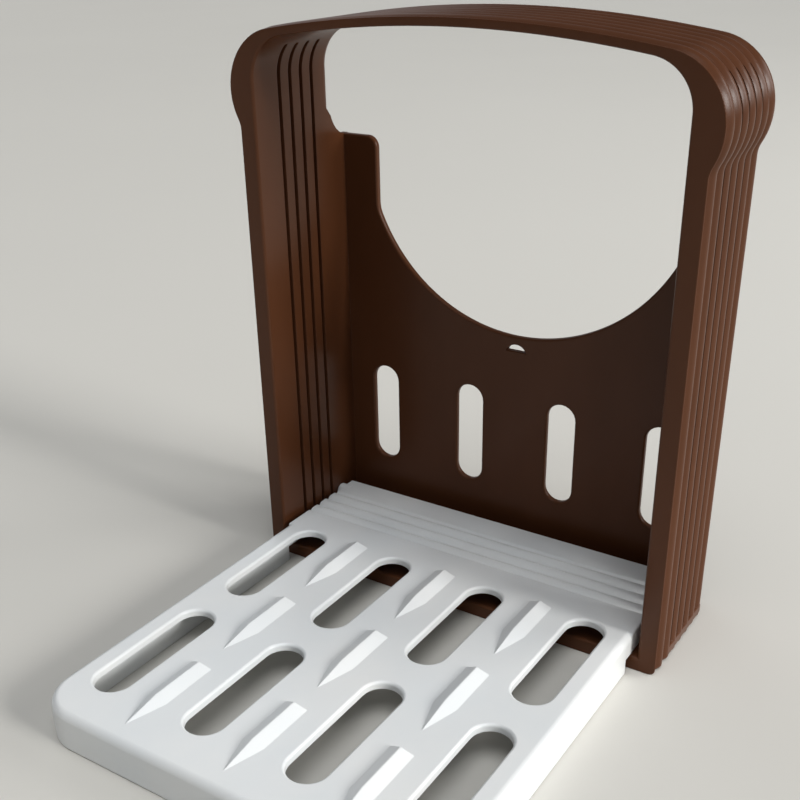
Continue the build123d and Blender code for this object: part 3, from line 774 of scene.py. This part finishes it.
# ---- the tray ----------------------------------------------------------------------------------
def tray_outline(guide, shrink):
    """Plan of the tray with round front corners, running past its rear end."""
    t = guide.tray
    half = inner_half_width(guide) - t.side_gap - shrink
    front, rear = TRAY_LOW.y + shrink, TRAY_HIGH.y + OVERSHOOT
    radius = t.corner - shrink
    outline = arc((-half + radius, front + radius), radius, 180, 270, steps=14)
    outline += arc((half - radius, front + radius), radius, 270, 360, steps=14)
    return outline + [(half, rear), (-half, rear)]


def side_profile(guide):
    """Side view of the tray: notched skirt, grooved rear deck and round rear end."""
    t, ribs, p = guide.tray, guide.ribs, guide.plates
    deck = TRAY_HIGH.z - t.ridge_height
    slots = [FRONT_Y + ribs.first_groove + (ribs.slot_groove + n) * ribs.pitch
             for n in range(ribs.slot_count)]
    swing = TRAY_HIGH.y - HINGE.y
    notch_z = p.base_top + t.notch_gap
    start = degrees(atan2(notch_z - HINGE.z, sqrt(swing**2 - (HINGE.z - notch_z) ** 2)))
    end = degrees(atan2(deck - HINGE.z, sqrt(swing**2 - (deck - HINGE.z) ** 2)))
    notch_y = FRONT_Y - t.notch_front
    profile = [(TRAY_LOW.y - OVERSHOOT, 0), (notch_y, 0), (notch_y, notch_z)]
    profile += arc((HINGE.y, HINGE.z), swing, start, end, steps=12)
    profile += [(slots[-1] + t.lip, deck - t.land_drop), (slots[-1], deck - t.groove)]
    # convex lands between the grooves
    half = ribs.pitch / 2
    radius = (half**2 + t.groove**2) / (2 * t.groove)
    sweep = degrees(atan2(half, radius - t.groove))
    for slot_y in slots[-2::-1]:
        profile += arc((slot_y + half, deck - radius), radius, 90 - sweep, 90 + sweep, steps=10)[1:]
    profile += [(slots[0] - t.lip, deck), (slots[0] - t.lip, deck + OVERSHOOT),
                (TRAY_LOW.y - OVERSHOOT, deck + OVERSHOOT)]
    return profile


def ridge(guide):
    """One pointed gripping ridge: blunt leaning rear end, straight crest, long point to the front."""
    t = guide.tray
    ridge_length = (FRONT_Y - TRAY_LOW.y - t.ridge_front - (t.ridge_rows - 1) * t.ridge_gap) / t.ridge_rows
    half, height = t.ridge_width / 2, t.ridge_height
    slope = degrees(atan2(height, half))
    crest = arc((0, height - t.ridge_round), t.ridge_round, 90 - slope, 90 + slope, steps=6)
    section = [(half, -BURIED), (half, 0), *crest, (-half, 0), (-half, -BURIED)]
    rings = []
    for y, lean in ((0, t.ridge_lean), (t.ridge_point - ridge_length, 0)):
        rings.append([(x, y - lean * max(z, 0) / height, z) for x, z in section])
    tip = 0.04   # share of the section that is left at the point
    rings.append([(x * tip, -ridge_length, z if z < 0 else z * tip) for x, z in section])
    return lofted("ridge", rings)


def hinge_pins(guide):
    """Hinge pins with thrust shoulders, out of the tray's side skirts."""
    t = guide.tray
    inner_x = inner_half_width(guide)
    root_x = inner_x - t.side_gap - t.wall
    step_x = inner_x - t.pin_end_gap
    tip_x = TRAY_HIGH.x
    outline = [(HINGE.y + u, HINGE.z + v) for u, v in circle(t.pin + t.pin_shoulder)]
    levels = [(0, root_x), (0, step_x), (t.pin_shoulder, step_x),
              (t.pin_shoulder, tip_x - t.pin_end_gap), (t.pin_shoulder + t.pin_end_gap, tip_x)]
    return [stacked("hinge_pin", outline, [(amount, side * x) for amount, x in levels], SIDE)
            for side in (1, -1)]


class SLICER_OT_tray(bpy.types.Operator):
    """Build the loaf tray with its drain holes, gripping ridges, grooves and hinge pins"""
    bl_idname = "slicer.tray"
    bl_label = "Tray moulding"

    def execute(self, context):
        guide = context.scene.slicer_guide
        t, ribs, finish = guide.tray, guide.ribs, guide.finish
        white = plastic("white_plastic", shared_surface(), finish.white, finish.white_flow,
                        gloss=0.45, roughness=0.34, rub=0.2, grain=0.000006, edge=0.0003)
        deck = TRAY_HIGH.z - t.ridge_height
        half_width = inner_half_width(guide) - t.side_gap
        reach = FRONT_Y - TRAY_LOW.y
        moulding = stacked("tray_moulding", tray_outline(guide, 0.0),
                           rounded(0, deck, t.foot_edge, t.edge, steps=7), PLAN)
        # the holes reach the deck's flat top, so they are cut before the side profile
        hole_length = (reach - t.hole_front - (t.hole_rows - 1) * t.hole_bridge) / t.hole_rows
        hole = stacked("hole_cutter", stadium(t.hole_width, hole_length, steps=16),
                       flared(-t.skin - OVERSHOOT, 0, 0.0, t.hole_edge), PLAN)
        hole_spacing = 2 * (half_width - t.hole_side) / (t.hole_columns - 1)
        holes_y = FRONT_Y + (t.hole_front - reach) / 2
        use_tree(moulding, row_tree("Cut hole rows", "DIFFERENCE"), tool=hole, columns=t.hole_columns,
                 rows=t.hole_rows, spacing=(hole_spacing, hole_length + t.hole_bridge, 0),
                 centre=(0, holes_y, deck), material=white)
        # the grooved rear has crisper side edges than the front
        rear_plan = [(-half_width, FRONT_Y), (half_width, FRONT_Y),
                     (half_width, TRAY_HIGH.y + OVERSHOOT), (-half_width, TRAY_HIGH.y + OVERSHOOT)]
        rear_block = stacked("rear_block", rear_plan, rounded(0, deck, 0.0, t.rear_edge), PLAN)
        use_boolean(moulding, rear_block, "UNION")
        profile = stacked("side_profile", side_profile(guide),
                          [(0, -half_width - OVERSHOOT), (0, half_width + OVERSHOOT)], SIDE)
        use_boolean(moulding, profile, "INTERSECT")
        # below, a hollow under the plain deck and a shallower one under the grooves
        grooves_y = FRONT_Y + ribs.first_groove + (ribs.slot_groove - 0.5) * ribs.pitch
        hollow_plan = tray_outline(guide, t.wall)[:-2]
        inner_x = half_width - t.wall
        front_hollow = stacked("front_hollow", hollow_plan + [(inner_x, grooves_y), (-inner_x, grooves_y)],
                               rounded(-OVERSHOOT, deck - t.skin, 0.0, t.edge / 2), PLAN)
        hollow_plan = [(-inner_x, grooves_y - OVERSHOOT), (inner_x, grooves_y - OVERSHOOT),
                       (inner_x, HINGE.y), (-inner_x, HINGE.y)]
        rear_hollow = stacked("rear_hollow", hollow_plan,
                              rounded(-OVERSHOOT, deck - t.skin - t.groove, 0.0, t.foot_edge), PLAN)
        for tool in (front_hollow, rear_hollow):
            use_boolean(moulding, tool, "DIFFERENCE")
        pins = hinge_pins(guide)
        for tool in pins:
            use_boolean(moulding, tool, "UNION")
        grip = ridge(guide)
        ridge_pitch = (reach - t.ridge_front + t.ridge_gap) / t.ridge_rows
        ridges_y = FRONT_Y - (t.ridge_rows - 1) / 2 * ridge_pitch
        use_tree(moulding, row_tree("Add ridge rows", "UNION"), tool=grip, columns=t.hole_columns - 1,
                 rows=t.ridge_rows, spacing=(hole_spacing, ridge_pitch, 0), centre=(0, ridges_y, deck),
                 material=white)
        finish_moulding(moulding, [hole, rear_block, profile, front_hollow, rear_hollow, *pins, grip],
                        "tray", "tray")
        return {"FINISHED"}


# ---- the studio --------------------------------------------------------------------------------
PICTURE_PIXELS = 800            # side of the square picture
CAMERA_PLACE = (0.14630, -0.26751, 0.19105)  # metres
CAMERA_AZIMUTH = 33.45          # degrees from the front, towards +X
CAMERA_ELEVATION = 27.30        # degrees that it looks down
CAMERA_ROLL = -1.05             # degrees
CAMERA_FOCUS = 1110.2           # focal length in pixels of the picture
CAMERA_CENTRE = (400.0, 480.0)  # picture point that the camera's axis goes through, in pixels
SENSOR_WIDTH = 36.0             # millimetres

WORLD_LIGHT = (0.93, 0.96, 1.0, 1.0)
WORLD_STRENGTH = 0.15
BACKDROP = (0.60, 0.59, 0.56, 1.0)
WARM = (1.0, 0.99, 0.97)
COOL = (0.97, 0.985, 1.0)
FOOT_MIDDLE = (0, 0, 0)         # middle of the frame's foot, where the suns point
FLOOR_RADIUS = 6.0
FLOOR_DROP = 0.0001             # the floor lies this far below the table plane, clear of the feet
FLOOR_UNEVENNESS = 1.04         # its palest patches, against its plain colour


def aim_camera():
    """The photograph's viewpoint."""
    data = bpy.data.cameras.new("camera")
    camera = bpy.data.objects.new("camera", data)
    bpy.context.scene.collection.objects.link(camera)
    azimuth, elevation, roll = (radians(v) for v in (CAMERA_AZIMUTH, CAMERA_ELEVATION, CAMERA_ROLL))
    ahead = Vector((-sin(azimuth) * cos(elevation), cos(azimuth) * cos(elevation), -sin(elevation)))
    right = ahead.cross(Vector((0, 0, 1))).normalized()
    up = right.cross(ahead)
    level = (right * cos(roll) + up * sin(roll), up * cos(roll) - right * sin(roll), -ahead)
    camera.matrix_world = Matrix.Translation(CAMERA_PLACE) @ Matrix(level).transposed().to_4x4()
    half = PICTURE_PIXELS / 2
    data.sensor_width = SENSOR_WIDTH
    data.lens = CAMERA_FOCUS / PICTURE_PIXELS * SENSOR_WIDTH
    data.shift_x = (half - CAMERA_CENTRE[0]) / PICTURE_PIXELS
    data.shift_y = (CAMERA_CENTRE[1] - half) / PICTURE_PIXELS
    bpy.context.scene.camera = camera


def lamp(kind, name, place, target, power, tint, softness):
    """A soft light aimed at the target: softness is a sun's angle or the side of a square area."""
    data = bpy.data.lights.new(name, kind)
    data.energy = power
    data.color = tint
    setattr(data, "angle" if kind == "SUN" else "size", softness)
    hung = bpy.data.objects.new(name, data)
    bpy.context.scene.collection.objects.link(hung)
    hung.location = place
    hung.rotation_euler = (Vector(target) - Vector(place)).to_track_quat("-Z", "Y").to_euler()


def floor_material(value):
    """Plain pale floor with a faint unevenness."""
    material = bpy.data.materials.new("studio_floor")
    material.use_nodes = True
    tree = material.node_tree
    shader = tree.nodes["Principled BSDF"]
    place = add_node(tree, "ShaderNodeTexCoord").outputs["Object"]
    cloud = add_node(tree, "ShaderNodeTexNoise", {"Vector": place, "Scale": 3.0, "Detail": 2.0})
    paler = [v * FLOOR_UNEVENNESS for v in value]
    tone = add_node(tree, "ShaderNodeMix", {0: cloud.outputs["Fac"], 6: (*value, 1.0), 7: (*paler, 1.0)},
                    data_type="RGBA")
    tree.links.new(tone.outputs[2], shader.inputs["Base Color"])
    shader.inputs["Roughness"].default_value = 1.0
    shader.inputs["Specular IOR Level"].default_value = 0.0
    return material


class SLICER_OT_studio(bpy.types.Operator):
    """Lay the floor, hang the lights and aim the camera"""
    bl_idname = "slicer.studio"
    bl_label = "Studio"

    def execute(self, context):
        scene = context.scene
        scene.view_settings.view_transform = "Standard"
        world = bpy.data.worlds.new("studio_world")
        world.use_nodes = True
        scene.world = world
        # a plain level for the light, and a brighter backdrop that only the camera sees
        tree = world.node_tree
        light = tree.nodes["Background"]
        light.inputs["Color"].default_value = WORLD_LIGHT
        light.inputs["Strength"].default_value = WORLD_STRENGTH
        backdrop = add_node(tree, "ShaderNodeBackground", {"Color": BACKDROP, "Strength": 1.0})
        seen = add_node(tree, "ShaderNodeLightPath").outputs["Is Camera Ray"]
        mixed = add_node(tree, "ShaderNodeMixShader", {0: seen, 1: light.outputs[0], 2: backdrop.outputs[0]})
        tree.links.new(mixed.outputs[0], tree.nodes["World Output"].inputs["Surface"])
        mesh = bpy.data.meshes.new("studio_floor")
        disc = bmesh.new()
        bmesh.ops.create_circle(disc, cap_ends=True, radius=FLOOR_RADIUS, segments=96)
        disc.to_mesh(mesh)
        disc.free()
        ground = bpy.data.objects.new("studio_floor", mesh)
        scene.collection.objects.link(ground)
        ground.location.z = -FLOOR_DROP
        mesh.materials.append(floor_material(scene.slicer_guide.finish.floor))
        lamp("SUN", "window", (0.93, 0.0, 0.36), FOOT_MIDDLE, power=2.3, tint=WARM, softness=radians(16))
        lamp("SUN", "ceiling", (0.18, -0.24, 0.95), FOOT_MIDDLE, power=1.22, tint=COOL, softness=radians(40))
        lamp("SUN", "fill", (-0.75, 0.45, 0.45), FOOT_MIDDLE, power=0.30, tint=COOL, softness=radians(40))
        lamp("AREA", "side", (1.0, 0.65, 0.60), (0.25, 0.30, 0.0), power=7.0, tint=WARM, softness=0.6)
        aim_camera()
        return {"FINISHED"}


# ---- add-on ------------------------------------------------------------------------------------
class SLICER_PT_sidebar(bpy.types.Panel):
    """Sizes, colours and build steps of the bread slicer guide"""
    bl_label = "Bread slicer guide"
    bl_idname = "SLICER_PT_sidebar"
    bl_space_type = "VIEW_3D"
    bl_region_type = "UI"
    bl_category = "Slicer guide"

    def draw(self, context):
        guide = context.scene.slicer_guide
        for operator in (SLICER_OT_frame, SLICER_OT_tray, SLICER_OT_studio):
            self.layout.operator(operator.bl_idname)
        for group in (guide.arch, guide.ribs, guide.plates, guide.tray, guide.finish):
            box = self.layout.box()
            for name in group.__annotations__:
                box.prop(group, name)


CLASSES = (ArchSizes, RibSizes, PlateSizes, TraySizes, Finish, SlicerGuide,
           SLICER_OT_frame, SLICER_OT_tray, SLICER_OT_studio, SLICER_PT_sidebar)


def register():
    """Registers the classes and hangs the sizes on the scene."""
    for cls in CLASSES:
        bpy.utils.register_class(cls)
    bpy.types.Scene.slicer_guide = bpy.props.PointerProperty(type=SlicerGuide)


def unregister():
    """Takes the sizes and the classes away again."""
    del bpy.types.Scene.slicer_guide
    for cls in reversed(CLASSES):
        bpy.utils.unregister_class(cls)


def main():
    """Builds everything in order."""
    register()
    bpy.ops.slicer.frame()
    bpy.ops.slicer.tray()
    bpy.ops.slicer.studio()


if __name__ == "__main__":
    main()
